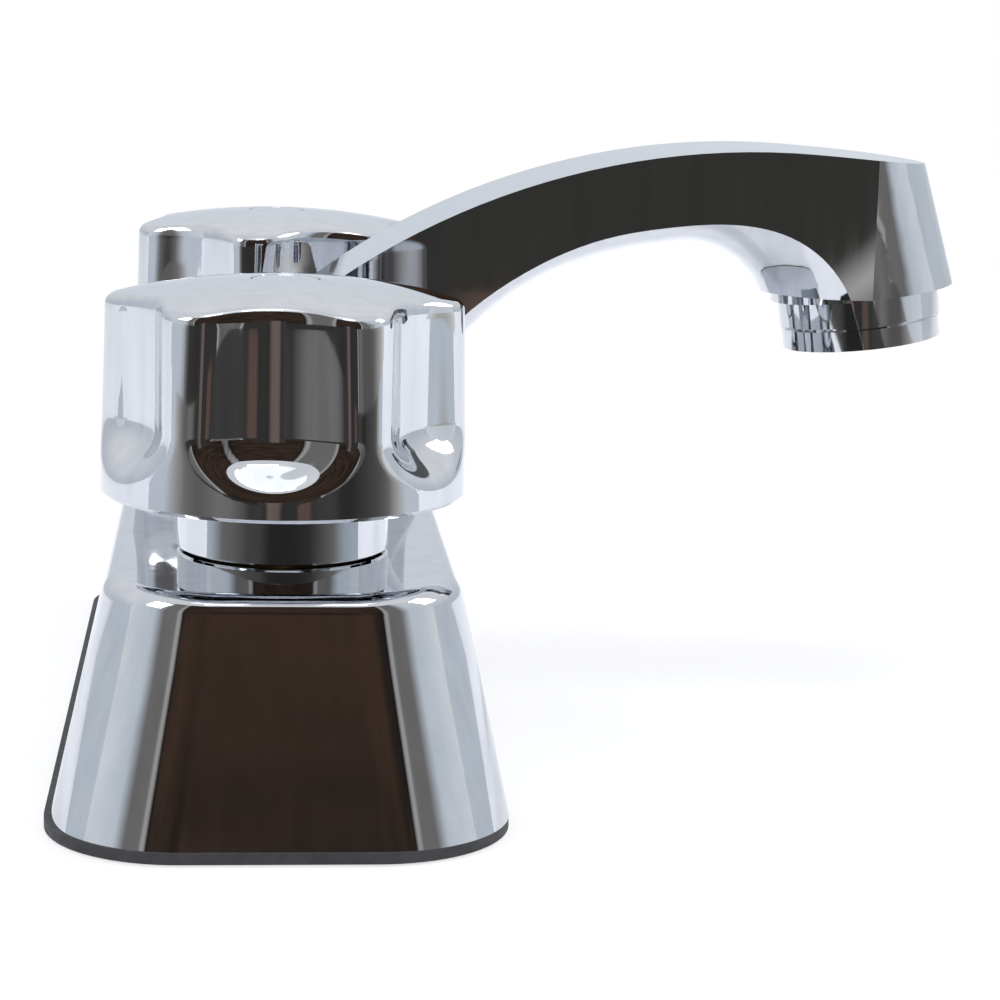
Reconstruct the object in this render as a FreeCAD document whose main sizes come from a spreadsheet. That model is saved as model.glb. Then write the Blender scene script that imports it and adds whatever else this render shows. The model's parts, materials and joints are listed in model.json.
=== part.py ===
import FreeCAD, Part
import math
import os

import Sketcher
from FreeCAD import Vector

# Two-handle centreset sink mixer, in millimetres. Z is up, X points from the spout's hub to
# its outlet, and Y runs along the two valves. The origin is the middle of the gasket's
# underside, where the mixer sits on the sink deck.

SIZES = {
    # deck gasket and cover
    "centres": 101.6,
    "gasket_rim_side": 0.4,
    "gasket_rim_end": 0.3,
    "gasket_rim_corner": 0.6,
    "gasket_thick": 1.5,
    "gasket_shift": 0.4,
    "shank_gap": 0.6,
    "cover_width": 59.0,
    "cover_end_room": 27.0,
    "cover_corner": 17.0,
    "cover_height": 30.3,
    "cover_side_lean": 6.7,
    "cover_end_lean": 8.8,
    "cover_top_corner": 14.5,
    "cover_wall": 2.6,
    "cavity_inset": 4.2,
    "cover_edge": 2.9,
    "hole_gap": 0.4,
    # valve body
    "shank_radius": 10.4,
    "shank_drop": 48.0,
    "shank_end_radius": 10.2,
    "shank_end_length": 9.0,
    "inlet_radius": 6.5,
    "body_radius": 13.2,
    "body_foot": 8.0,
    "body_slope": 2.8,
    "neck_radius": 11.2,
    "neck_drop": 0.3,
    "chamber_radius": 9.3,
    "chamber_floor": 14.0,
    "port_level": 22.0,
    "tube_radius": 5.0,
    "tube_bore": 3.8,
    "tube_grip": 2.5,
    "seat_gap": 0.03,
    # collar ring under each knob
    "collar_radius": 13.7,
    "collar_height": 2.4,
    "thread_gap": 0.05,
    "collar_chamfer": 0.3,
    # cartridge
    "cartridge_radius": 9.2,
    "cartridge_lift": 1.3,
    "cartridge_wall": 1.1,
    "disc_room": 11.5,
    "flange_flats": 18.8,
    "flange_height": 3.0,
    "cartridge_nose": 7.0,
    "cartridge_top": 4.4,
    "window_width": 8.0,
    "window_height": 5.0,
    "seal_inner": 6.6,
    "seal_height": 2.3,
    "disc_gap": 0.1,
    "disc_thick": 2.8,
    "disc_slip": 0.03,
    "disc_hole": 2.1,
    "disc_hole_place": 4.7,
    "ring_groove_width": 2.2,
    "ring_groove_depth": 1.6,
    "ring_gap": 0.02,
    "ring_level": 3.4,
    # spindle, clip and knob screw
    "spindle_radius": 4.2,
    "spindle_slip": 0.05,
    "spindle_foot": 6.2,
    "spindle_foot_height": 3.0,
    "clip_radius": 6.2,
    "clip_thick": 0.8,
    "clip_groove": 0.7,
    "clip_gap": 0.15,
    "clip_mouth": 3.6,
    "tang_width": 5.6,
    "tang_length": 14.0,
    "tang_gap": 0.05,
    "screw_radius": 1.9,
    "screw_length": 12.0,
    "screw_head": 3.6,
    "screw_head_height": 2.4,
    "screw_head_chamfer": 0.8,
    "screw_play": 0.3,
    # knob
    "knob_gap": 0.4,
    "sleeve_length": 7.4,
    "sleeve_bore": 11.9,
    "sleeve_depth": 12.5,
    "knob_radius": 23.7,
    "knob_draft": 0.7,
    "skirt_inner": 21.3,
    "skirt_recess": 3.0,
    "skirt_chamfer": 0.5,
    "knob_side": 25.0,
    "knob_dome": 3.2,
    "knob_hub_thick": 2.6,
    "flute_radius": 12.5,
    "flute_place": 30.5,
    "flute_foot": 14.5,
    "flute_blend": 3.0,
    "knob_edge": 0.8,
    "hot_knob_angle": -8.0,
    "cold_knob_angle": 19.5,
    "index_radius": 4.4,
    "index_thick": 1.6,
    "index_gap": 0.05,
    "index_plug": 3.6,
    "index_plug_height": 0.8,
    "index_dome": 0.3,
    # spout socket, its nut, ring, o-rings and set screw
    "socket_radius": 13.0,
    "socket_floor": 10.0,
    "socket_wall": 2.5,
    "post_radius": 8.4,
    "post_bore": 5.2,
    "post_height": 18.5,
    "post_slip": 0.05,
    "nut_flats": 20.0,
    "nut_height": 2.6,
    "nut_room": 0.4,
    "glide_thick": 1.0,
    "glide_inner": 12.2,
    "glide_gap": 0.05,
    "glide_inset": 0.2,
    "lock_groove_level": 7.0,
    "lock_groove_width": 3.4,
    "lock_groove_depth": 1.4,
    "post_ring_low": 11.2,
    "post_ring_high": 15.2,
    "grub_radius": 2.0,
    "grub_tip": 1.3,
    "grub_tip_length": 1.6,
    "grub_tip_gap": 0.4,
    "grub_sink": 0.4,
    "grub_socket": 1.0,
    "grub_socket_depth": 2.0,
    # spout
    "hub_radius": 13.7,
    "arm_half_width": 12.5,
    "top_radius": 106.5,
    "top_centre_x": 69.0,
    "top_apex": 84.3,
    "nose_start": 76.0,
    "nose_radius": 500.0,
    "arch_radius": 46.3,
    "arch_centre_x": 60.0,
    "arch_apex": 70.2,
    "belly": 3.3,
    "throat_radius": 12.2,
    "throat_side_radius": 17.4,
    "throat_side_x": 66.2,
    "throat_side_apex": 73.5,
    "head_x": 85.3,
    "head_z": 63.2,
    "head_tilt": 7.5,
    "head_back": 12.6,
    "head_front": 15.0,
    "head_front_top": 11.7,
    "head_overlap": 6.0,
    "spare_stock": 4.0,
    "waterway_radius": 4.2,
    "waterway_middle": 40.0,
    "waterway_rise": 11.0,
    "waterway_inset": 1.5,
    # aerator, measured along its own tilted axis
    "aerator_radius": 11.9,
    "aerator_shift": 0.4,
    "aerator_height": 7.2,
    "aerator_lip": 2.9,
    "aerator_lip_step": 0.25,
    "aerator_groove": 0.5,
    "aerator_thread": 10.6,
    "aerator_thread_height": 6.0,
    "aerator_bore": 9.3,
    "aerator_ledge": 8.3,
    "aerator_ledge_thick": 1.0,
    "aerator_gap": 0.05,
    "insert_gap": 0.05,
    "insert_height": 4.5,
    "insert_hole": 0.95,
    "insert_pitch": 3.2,
    "screen_thick": 0.5,
    "washer_thick": 1.6,
    "washer_inner": 7.6,
    # below the deck
    "deck_room": 24.0,
    "washer_radius": 18.5,
    "washer_height": 1.6,
    "nut_radius": 14.5,
    "nut_hub_height": 12.0,
    "nut_rim_radius": 19.0,
    "nut_rim_height": 3.0,
    "wing_reach": 23.0,
    "wing_slope": 3.0,
    "wing_rise": 1.0,
    "wing_grip": 1.0,
    "wing_thick": 4.0,
    # how far a cut runs past the surface that it starts or ends in
    "overrun": 1.0,
}

doc = FreeCAD.newDocument("SinkMixer")
sheet = doc.addObject("Spreadsheet::Sheet", "Sheet")


class Size:
    """A number together with the sheet expression that gives it."""

    def __init__(self, number, text):
        self.number = float(number)
        self.text = text

    def __add__(self, other):
        other = as_size(other)
        return Size(self.number + other.number, "(%s + %s)" % (self.text, other.text))

    def __radd__(self, other):
        return as_size(other) + self

    def __sub__(self, other):
        other = as_size(other)
        return Size(self.number - other.number, "(%s - %s)" % (self.text, other.text))

    def __rsub__(self, other):
        return as_size(other) - self

    def __mul__(self, other):
        other = as_size(other)
        return Size(self.number * other.number, "(%s * %s)" % (self.text, other.text))

    def __rmul__(self, other):
        return self * other

    def __truediv__(self, other):
        other = as_size(other)
        return Size(self.number / other.number, "(%s / %s)" % (self.text, other.text))

    def __neg__(self):
        return Size(-self.number, "(0 - %s)" % self.text)


def as_size(value):
    return value if isinstance(value, Size) else Size(value, repr(float(value)))


def fill_sheet():
    for row, (name, number) in enumerate(SIZES.items(), start=1):
        sheet.set("A%d" % row, name)
        sheet.set("B%d" % row, str(number))
        sheet.setAlias("B%d" % row, name)
    doc.recompute()


def size(name):
    return Size(SIZES[name], "Sheet.%s" % name)


def bind(target, path, value):
    target.setExpression(path, as_size(value).text)


def place(target, x=0, y=0, z=0, turn=None, axis=None):
    """Put an object at x, y, z and turn it by an angle in degrees about an axis."""
    for letter, value in (("x", x), ("y", y), ("z", z)):
        bind(target, "Placement.Base." + letter, value)
    if turn is not None:
        target.Placement.Rotation = FreeCAD.Rotation(axis or Vector(0, 0, 1), as_size(turn).number)
        bind(target, "Placement.Rotation.Angle", turn)


def new_body(name):
    body = doc.addObject("PartDesign::Body", name)
    body.Label = name
    return body


def origin_feature(body, role):
    return [item for item in body.Origin.OriginFeatures if item.Role == role][0]


def new_sketch(body, name, role, lift=None):
    sketch = body.newObject("Sketcher::SketchObject", name)
    sketch.AttachmentSupport = [(origin_feature(body, role), "")]
    sketch.MapMode = "FlatFace"
    if lift is not None:
        bind(sketch, "AttachmentOffset.Base.z", lift)
    return sketch


def pin_point(sketch, shape, point, x, y):
    """Hold one point of a sketch at x, y, with both distances bound to the sheet."""
    for kind, value, axis in (("DistanceX", as_size(x), -2), ("DistanceY", as_size(y), -1)):
        if abs(value.number) < 1e-9:
            sketch.addConstraint(Sketcher.Constraint("PointOnObject", shape, point, axis))
        else:
            index = sketch.addConstraint(Sketcher.Constraint(kind, -1, 1, shape, point, value.number))
            bind(sketch, "Constraints[%d]" % index, value)


def add_circle(sketch, radius, x=0, y=0):
    radius, x, y = as_size(radius), as_size(x), as_size(y)
    circle = sketch.addGeometry(Part.Circle(Vector(x.number, y.number, 0), Vector(0, 0, 1), radius.number))
    pin_point(sketch, circle, 3, x, y)
    index = sketch.addConstraint(Sketcher.Constraint("Radius", circle, radius.number))
    bind(sketch, "Constraints[%d]" % index, radius)


def arc_between(start, end, radius):
    """An arc from start to end that bulges to the left of the way there for a positive radius."""
    chord = end - start
    half = chord.Length / 2
    left = Vector(-chord.y, chord.x, 0).normalize()
    rise = abs(radius) - math.sqrt(radius * radius - half * half)
    middle = (start + end) * 0.5 + left * math.copysign(rise, radius)
    return Part.Arc(start, middle, end)


def add_outline(sketch, points, arcs=None):
    """A closed outline through pinned points. arcs gives a radius for the side after a point."""
    arcs = arcs or {}
    corners = [(as_size(x), as_size(y)) for x, y in points]
    spots = [Vector(x.number, y.number, 0) for x, y in corners]
    sides = []
    for number, spot in enumerate(spots):
        following = spots[(number + 1) % len(spots)]
        if number in arcs:
            sides.append(arc_between(spot, following, as_size(arcs[number]).number))
        else:
            sides.append(Part.LineSegment(spot, following))
    starts = []
    ends = []
    for number, side in enumerate(sides):
        shape = sketch.addGeometry(side)
        first = side.value(side.FirstParameter)
        flipped = isinstance(side, Part.Arc) and (first - spots[number]).Length > 1e-6
        starts.append((shape, 2 if flipped else 1))
        ends.append((shape, 1 if flipped else 2))
    for number in range(len(sides)):
        following = (number + 1) % len(sides)
        sketch.addConstraint(Sketcher.Constraint("Coincident", *ends[number], *starts[following]))
    for number, (x, y) in enumerate(corners):
        pin_point(sketch, starts[number][0], starts[number][1], x, y)
    for number, radius in arcs.items():
        radius = as_size(radius)
        index = sketch.addConstraint(Sketcher.Constraint("Radius", starts[number][0], abs(radius.number)))
        bind(sketch, "Constraints[%d]" % index, radius if radius.number > 0 else -radius)


def add_rounded_rectangle(sketch, width, length, radius, x=0):
    """A rectangle centred at x, 0 with rounded corners."""
    width, length, radius, x = as_size(width), as_size(length), as_size(radius), as_size(x)
    reach_x = width / 2 - radius
    reach_y = length / 2 - radius
    corners = (
        (reach_x, reach_y, 0),
        (-reach_x, reach_y, 90),
        (-reach_x, -reach_y, 180),
        (reach_x, -reach_y, 270),
    )
    arcs = []
    for along, across, start in corners:
        circle = Part.Circle(Vector(x.number + along.number, across.number, 0), Vector(0, 0, 1), radius.number)
        arcs.append(sketch.addGeometry(
            Part.ArcOfCircle(circle, math.radians(start), math.radians(start + 90))))
    lines = []
    for number in range(4):
        tail = sketch.Geometry[arcs[number]].EndPoint
        tip = sketch.Geometry[arcs[(number + 1) % 4]].StartPoint
        lines.append(sketch.addGeometry(Part.LineSegment(tail, tip)))
    for number in range(4):
        sketch.addConstraint(Sketcher.Constraint("Tangent", arcs[number], 2, lines[number], 1))
        sketch.addConstraint(Sketcher.Constraint("Tangent", lines[number], 2, arcs[(number + 1) % 4], 1))
    for number, (along, across, start) in enumerate(corners):
        pin_point(sketch, arcs[number], 3, x + along, across)
    index = sketch.addConstraint(Sketcher.Constraint("Radius", arcs[0], radius.number))
    bind(sketch, "Constraints[%d]" % index, radius)
    for number in range(1, 4):
        sketch.addConstraint(Sketcher.Constraint("Equal", arcs[0], arcs[number]))


def add_polygon(sketch, sides, flats):
    """A regular polygon about the origin, given its width across flats."""
    inner = as_size(flats) / 2
    step = 360.0 / sides
    grow = 1 / math.cos(math.radians(step / 2))
    points = []
    for number in range(sides):
        angle = math.radians(step * (number + 0.5))
        points.append((inner * (grow * math.cos(angle)), inner * (grow * math.sin(angle))))
    add_outline(sketch, points)


def pad(body, name, sketch, height, both_ways=False, reverse=False):
    feature = body.newObject("PartDesign::Pad", name)
    feature.Profile = sketch
    feature.Midplane = both_ways
    feature.Reversed = reverse
    bind(feature, "Length", height)
    return feature


def pocket(body, name, sketch, depth, both_ways=False, reverse=False):
    feature = body.newObject("PartDesign::Pocket", name)
    feature.Profile = sketch
    feature.Midplane = both_ways
    feature.Reversed = reverse
    bind(feature, "Length", depth)
    return feature


def turned(name, points, arcs=None, at=(0, 0, 0), turn=None, axis=None):
    """A body of revolution about its own Z axis, from an outline in radius and height."""
    body = new_body(name)
    sketch = new_sketch(body, name + "_section", "XZ_Plane")
    add_outline(sketch, points, arcs)
    feature = body.newObject("PartDesign::Revolution", name + "_turning")
    feature.Profile = sketch
    feature.ReferenceAxis = (sketch, ["V_Axis"])
    feature.Angle = 360
    place(body, *at, turn=turn, axis=axis)
    return body


def polar(body, name, features, count):
    pattern = body.newObject("PartDesign::PolarPattern", name)
    pattern.Originals = features
    pattern.Axis = (origin_feature(body, "Z_Axis"), [""])
    pattern.Angle = 360
    pattern.Occurrences = count
    body.Tip = pattern
    return pattern


def edge_names(shape, wanted):
    return ["Edge%d" % (number + 1) for number, edge in enumerate(shape.Edges) if wanted(edge)]


def spots_on(edge, count=5):
    first, last = edge.ParameterRange
    return [edge.valueAt(first + (last - first) * step / (count - 1)) for step in range(count)]


def round_edges(body, name, base, wanted, radius):
    doc.recompute()
    feature = body.newObject("PartDesign::Fillet", name)
    feature.Base = (base, edge_names(base.Shape, wanted))
    bind(feature, "Radius", radius)
    return feature


def group(name, members):
    compound = doc.addObject("Part::Compound", name)
    compound.Label = name
    compound.Links = members
    return compound


fill_sheet()

# Levels above the deck that several pieces share
COVER_LENGTH = size("centres") + size("cover_end_room") * 2
COVER_TOP = size("gasket_thick") + size("cover_height")
COVER_ROOF = COVER_TOP - size("cover_wall")
COLLAR_TOP = COVER_TOP + size("collar_height")
NECK_TOP = COLLAR_TOP - size("neck_drop")
FLANGE_TOP = NECK_TOP + size("flange_height")
NOSE_TOP = FLANGE_TOP + size("cartridge_top")
SLEEVE_FOOT = COLLAR_TOP + size("knob_gap")
SKIRT_FOOT = SLEEVE_FOOT + size("sleeve_length")
RIM_TOP = SKIRT_FOOT + size("knob_side")
SEAL_TOP = size("chamber_floor") + size("seal_height")
FIXED_DISC_TOP = SEAL_TOP + size("disc_thick")
MOVING_DISC_FOOT = FIXED_DISC_TOP + size("disc_slip")
MOVING_DISC_TOP = MOVING_DISC_FOOT + size("disc_thick")
DISC_ROOF = SEAL_TOP + size("disc_room")
SPINDLE_FOOT_TOP = MOVING_DISC_TOP + size("spindle_foot_height")
CLIP_FOOT = NOSE_TOP + size("clip_gap")
CLIP_TOP = CLIP_FOOT + size("clip_thick")
TANG_FOOT = SLEEVE_FOOT + size("sleeve_depth")
TANG_TOP = TANG_FOOT + size("tang_length")
KNOB_HUB_TOP = TANG_TOP + size("knob_hub_thick")
SCREW_TOP = KNOB_HUB_TOP + size("screw_head_height")
INDEX_SEAT = SCREW_TOP + size("index_plug_height")
GLIDE_TOP = COVER_TOP + size("glide_thick")
HUB_FOOT = GLIDE_TOP + size("glide_gap")
POST_TOP = COVER_TOP + size("post_height")
HALF = size("centres") / 2
OVERRUN = size("overrun")
VALVES = (("hot", -1), ("cold", 1))


def valve_spot(side):
    return (0, HALF * side, 0)


# Deck gasket and cover

def make_gasket():
    body = new_body("base_gasket")
    sketch = new_sketch(body, "gasket_outline", "XY_Plane")
    width = size("cover_width") + size("gasket_rim_side") * 2
    length = COVER_LENGTH + size("gasket_rim_end") * 2
    corner = size("cover_corner") + size("gasket_rim_corner")
    add_rounded_rectangle(sketch, width, length, corner, -size("gasket_shift"))
    for name, side in VALVES:
        add_circle(sketch, size("shank_radius") + size("shank_gap"), 0, HALF * side)
    pad(body, "gasket_sheet", sketch, size("gasket_thick"))


def make_cover():
    body = new_body("base_cover")
    foot_level = size("gasket_thick")
    top_width = size("cover_width") - size("cover_side_lean") * 2
    top_length = COVER_LENGTH - size("cover_end_lean") * 2
    foot = new_sketch(body, "cover_foot", "XY_Plane", foot_level)
    add_rounded_rectangle(foot, size("cover_width"), COVER_LENGTH, size("cover_corner"))
    top = new_sketch(body, "cover_crown", "XY_Plane", COVER_TOP)
    add_rounded_rectangle(top, top_width, top_length, size("cover_top_corner"))
    shell = body.newObject("PartDesign::AdditiveLoft", "cover_form")
    shell.Profile = foot
    shell.Sections = [top]
    shell.Ruled = True
    wall = size("cover_wall")
    inner_foot = new_sketch(body, "cavity_foot", "XY_Plane", foot_level)
    add_rounded_rectangle(inner_foot, size("cover_width") - wall * 2, COVER_LENGTH - wall * 2,
                          size("cover_corner") - wall)
    inner_top = new_sketch(body, "cavity_roof", "XY_Plane", COVER_ROOF)
    inset = size("cavity_inset")
    add_rounded_rectangle(inner_top, top_width - inset, top_length - inset, size("cover_top_corner") - wall)
    cavity = body.newObject("PartDesign::SubtractiveLoft", "cover_cavity")
    cavity.Profile = inner_foot
    cavity.Sections = [inner_top]
    cavity.Ruled = True
    holes = new_sketch(body, "cover_holes", "XY_Plane", COVER_TOP)
    for name, side in VALVES:
        add_circle(holes, size("neck_radius") + size("hole_gap"), 0, HALF * side)
    add_circle(holes, size("post_radius") + size("hole_gap"))
    openings = pocket(body, "cover_openings", holes, wall * 2)

    def on_rim(edge):
        level = all(abs(spot.z - COVER_TOP.number) < 1e-4 for spot in spots_on(edge))
        return level and not edge.isClosed()

    body.Tip = round_edges(body, "cover_edge", openings, on_rim, size("cover_edge"))


# Valve side, the same for hot and cold. The cold one is turned half round, so that its
# outlet port points at the spout socket too.

def make_valve_body(name, side):
    neck = size("neck_radius")
    shank = size("shank_radius")
    body = turned(name + "_valve_body", [
        (size("inlet_radius"), -size("shank_drop")),
        (size("shank_end_radius"), -size("shank_drop")),
        (size("shank_end_radius"), size("shank_end_length") - size("shank_drop")),
        (shank, size("shank_end_length") - size("shank_drop")),
        (shank, size("body_foot")),
        (size("body_radius"), size("body_foot") + size("body_slope")),
        (size("body_radius"), COVER_ROOF),
        (neck, COVER_ROOF),
        (neck, NECK_TOP),
        (size("chamber_radius"), NECK_TOP),
        (size("chamber_radius"), size("chamber_floor")),
        (size("inlet_radius"), size("chamber_floor")),
    ], at=valve_spot(side), turn=90 + 90 * side)
    sketch = new_sketch(body, name + "_port_circle", "XZ_Plane")
    add_circle(sketch, size("tube_radius") + size("seat_gap"), 0, size("port_level"))
    body.Tip = pocket(body, name + "_port", sketch, size("body_radius") + OVERRUN)


def make_cross_tube(name, side):
    body = new_body(name + "_cross_tube")
    sketch = new_sketch(body, name + "_tube_ring", "XZ_Plane")
    add_circle(sketch, size("tube_radius"), 0, size("port_level"))
    add_circle(sketch, size("tube_bore"), 0, size("port_level"))
    clear = HALF - size("body_radius") - size("socket_radius")
    pad(body, name + "_tube_wall", sketch, clear + size("tube_grip") * 2, reverse=True)
    start = HALF - size("body_radius") + size("tube_grip")
    place(body, 0, start * side, 0, turn=90 + 90 * side)


def make_collar(name, side):
    radius = size("collar_radius")
    chamfer = size("collar_chamfer")
    inner = size("neck_radius") + size("thread_gap")
    turned(name + "_collar", [
        (inner, COVER_TOP),
        (radius, COVER_TOP),
        (radius, COLLAR_TOP - chamfer),
        (radius - chamfer, COLLAR_TOP),
        (inner, COLLAR_TOP),
    ], at=valve_spot(side))


def make_cartridge(name, side):
    outer = size("cartridge_radius")
    foot = size("chamber_floor") + size("cartridge_lift")
    groove_foot = NECK_TOP - size("ring_level") - size("ring_groove_width")
    groove_top = NECK_TOP - size("ring_level")
    shaft_bore = size("spindle_radius") + size("spindle_slip")
    body = turned(name + "_cartridge", [
        (outer - size("cartridge_wall"), foot),
        (outer, foot),
        (outer, groove_foot),
        (outer - size("ring_groove_depth"), groove_foot),
        (outer - size("ring_groove_depth"), groove_top),
        (outer, groove_top),
        (outer, FLANGE_TOP),
        (size("cartridge_nose"), FLANGE_TOP),
        (size("cartridge_nose"), NOSE_TOP),
        (shaft_bore, NOSE_TOP),
        (shaft_bore, DISC_ROOF),
        (outer - size("cartridge_wall"), DISC_ROOF),
    ], at=valve_spot(side), turn=90 + 90 * side)
    flange = new_sketch(body, name + "_flange_hexagon", "XY_Plane", NECK_TOP)
    add_polygon(flange, 6, size("flange_flats"))
    add_circle(flange, outer - OVERRUN)
    pad(body, name + "_flange", flange, size("flange_height"))
    window = new_sketch(body, name + "_window_outline", "XZ_Plane")
    half = size("window_width") / 2
    foot = MOVING_DISC_TOP
    add_outline(window, [(-half, foot), (half, foot), (half, foot + size("window_height")),
                         (-half, foot + size("window_height"))])
    body.Tip = pocket(body, name + "_windows", window, (outer + OVERRUN) * 2, both_ways=True)


def make_cartridge_ring(name, side):
    outer = size("chamber_radius") - size("ring_gap")
    inner = size("cartridge_radius") - size("ring_groove_depth") + size("ring_gap")
    ring = doc.addObject("Part::Torus", name + "_cartridge_ring")
    ring.Label = name + "_cartridge_ring"
    bind(ring, "Radius1", (outer + inner) / 2)
    bind(ring, "Radius2", (outer - inner) / 2)
    place(ring, 0, HALF * side, NECK_TOP - size("ring_level") - size("ring_groove_width") / 2)


def make_seat_seal(name, side):
    outer = size("cartridge_radius") - size("cartridge_wall") - size("disc_gap")
    turned(name + "_seat_seal", [
        (size("seal_inner"), size("chamber_floor")),
        (outer, size("chamber_floor")),
        (outer, SEAL_TOP),
        (size("seal_inner"), SEAL_TOP),
    ], at=valve_spot(side))


def make_disc(name, side, foot, along_x):
    """A ceramic disc with its two water holes across the spindle, along X or along Y."""
    body = new_body(name)
    sketch = new_sketch(body, name + "_outline", "XY_Plane", foot)
    add_circle(sketch, size("cartridge_radius") - size("cartridge_wall") - size("disc_gap"))
    for sign in (-1, 1):
        offset = size("disc_hole_place") * sign
        add_circle(sketch, size("disc_hole"), offset if along_x else 0, 0 if along_x else offset)
    pad(body, name + "_plate", sketch, size("disc_thick"))
    place(body, *valve_spot(side))


def make_spindle(name, side, angle):
    shaft = size("spindle_radius")
    groove = shaft - size("clip_groove")
    body = turned(name + "_spindle", [
        (0, MOVING_DISC_TOP),
        (size("spindle_foot"), MOVING_DISC_TOP),
        (size("spindle_foot"), SPINDLE_FOOT_TOP),
        (shaft, SPINDLE_FOOT_TOP),
        (shaft, CLIP_FOOT),
        (groove, CLIP_FOOT),
        (groove, CLIP_TOP),
        (shaft, CLIP_TOP),
        (shaft, TANG_FOOT),
        (0, TANG_FOOT),
    ], at=valve_spot(side), turn=angle)
    tang = new_sketch(body, name + "_tang_square", "XY_Plane", TANG_FOOT)
    add_polygon(tang, 4, size("tang_width"))
    pad(body, name + "_tang", tang, size("tang_length"))
    hole = new_sketch(body, name + "_tapped_circle", "XY_Plane", TANG_TOP)
    add_circle(hole, size("screw_radius") + size("thread_gap"))
    depth = size("screw_length") - size("knob_hub_thick") + OVERRUN
    body.Tip = pocket(body, name + "_tapped_hole", hole, depth)


def make_clip(name, side):
    body = new_body(name + "_spindle_clip")
    inner = size("spindle_radius") - size("clip_groove") + size("clip_gap")
    sketch = new_sketch(body, name + "_clip_ring", "XY_Plane", CLIP_FOOT)
    add_circle(sketch, size("clip_radius"))
    add_circle(sketch, inner)
    pad(body, name + "_clip_plate", sketch, size("clip_thick"))
    mouth = new_sketch(body, name + "_clip_mouth", "XY_Plane", CLIP_TOP)
    half = size("clip_mouth") / 2
    reach = size("clip_radius") + OVERRUN
    add_outline(mouth, [(0, -half), (reach, -half), (reach, half), (0, half)])
    body.Tip = pocket(body, name + "_clip_opening", mouth, size("clip_thick") + OVERRUN)
    place(body, *valve_spot(side))


def make_knob_screw(name, side):
    foot = KNOB_HUB_TOP - size("screw_length")
    chamfer = size("screw_head_chamfer")
    turned(name + "_knob_screw", [
        (0, foot),
        (size("screw_radius"), foot),
        (size("screw_radius"), KNOB_HUB_TOP),
        (size("screw_head"), KNOB_HUB_TOP),
        (size("screw_head"), SCREW_TOP - chamfer),
        (size("screw_head") - chamfer, SCREW_TOP),
        (0, SCREW_TOP),
    ], at=valve_spot(side))


def make_knob(name, side, angle):
    draft = size("knob_draft")
    rim = size("knob_radius") - draft
    bore = size("sleeve_bore")
    sleeve = size("collar_radius")
    screw_room = size("screw_radius") + size("screw_play")
    head_room = size("screw_head") + size("screw_play")
    index_room = size("index_radius") + size("index_gap")
    index_edge = INDEX_SEAT + size("index_thick")
    dome = (rim * rim + size("knob_dome") * size("knob_dome")) / (size("knob_dome") * 2)
    body = turned(name + "_knob", [
        (bore, SLEEVE_FOOT),
        (sleeve, SLEEVE_FOOT),
        (sleeve, SKIRT_FOOT + size("skirt_recess")),
        (size("skirt_inner"), SKIRT_FOOT + size("skirt_recess")),
        (size("skirt_inner"), SKIRT_FOOT),
        (size("knob_radius") - size("skirt_chamfer"), SKIRT_FOOT),
        (size("knob_radius"), SKIRT_FOOT + size("skirt_chamfer")),
        (rim, RIM_TOP),
        (index_room, index_edge),
        (index_room, INDEX_SEAT),
        (head_room, INDEX_SEAT),
        (head_room, KNOB_HUB_TOP),
        (screw_room, KNOB_HUB_TOP),
        (screw_room, TANG_FOOT),
        (bore, TANG_FOOT),
    ], arcs={7: -dome}, at=valve_spot(side), turn=angle)
    flute = new_sketch(body, name + "_flute_section", "YZ_Plane")
    far = size("flute_place")
    outer = far + size("flute_radius")
    foot = SKIRT_FOOT + size("flute_foot")
    over = RIM_TOP + size("knob_dome") * 2
    add_outline(flute, [(far, foot - size("flute_radius")), (outer, foot), (outer, over), (far, over)],
                arcs={0: -size("flute_radius")})
    axis = flute.addGeometry(Part.LineSegment(
        Vector(far.number, 0, 0), Vector(far.number, foot.number, 0)), True)
    pin_point(flute, axis, 1, far, 0)
    pin_point(flute, axis, 2, far, foot)
    groove = body.newObject("PartDesign::Groove", name + "_flute")
    groove.Profile = flute
    groove.ReferenceAxis = (flute, ["Axis0"])
    groove.Angle = 360
    flutes = polar(body, name + "_flutes", [groove], 6)

    def on_side(edge):
        spots = spots_on(edge)
        height = [spot.z for spot in spots]
        if min(height) < SKIRT_FOOT.number + 1 or max(height) > RIM_TOP.number + 0.01:
            return False
        if max(height) - min(height) < 0.5:
            return False
        rise = rim.number - size("knob_radius").number
        span = (RIM_TOP - SKIRT_FOOT - size("skirt_chamfer")).number
        for spot in spots:
            share = (spot.z - SKIRT_FOOT.number - SIZES["skirt_chamfer"]) / span
            if abs(math.hypot(spot.x, spot.y) - (SIZES["knob_radius"] + rise * share)) > 0.02:
                return False
        return True

    def on_crown_rim(edge):
        spots = spots_on(edge)
        low = min(spot.z for spot in spots)
        near_axis = min(math.hypot(spot.x, spot.y) for spot in spots)
        return low > RIM_TOP.number - 0.01 and near_axis > index_room.number + 1

    blends = round_edges(body, name + "_lobe_blends", flutes, on_side, size("flute_blend"))
    body.Tip = round_edges(body, name + "_crown_edge", blends, on_crown_rim, size("knob_edge"))
    tang = new_sketch(body, name + "_tang_hole_square", "XY_Plane", TANG_FOOT)
    add_polygon(tang, 4, size("tang_width") + size("tang_gap") * 2)
    body.Tip = pocket(body, name + "_tang_hole", tang, size("tang_length"), reverse=True)


def make_index(name, side):
    radius = size("index_radius")
    thick = size("index_thick")
    top = INDEX_SEAT + thick
    rise = size("index_dome")
    dome = (radius * radius + rise * rise) / (rise * 2)
    turned(name + "_index", [
        (0, INDEX_SEAT - size("index_plug_height")),
        (size("index_plug"), INDEX_SEAT - size("index_plug_height")),
        (size("index_plug"), INDEX_SEAT),
        (radius, INDEX_SEAT),
        (radius, top),
        (0, top + rise),
    ], arcs={4: -dome}, at=valve_spot(side))


# Below the deck

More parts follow.
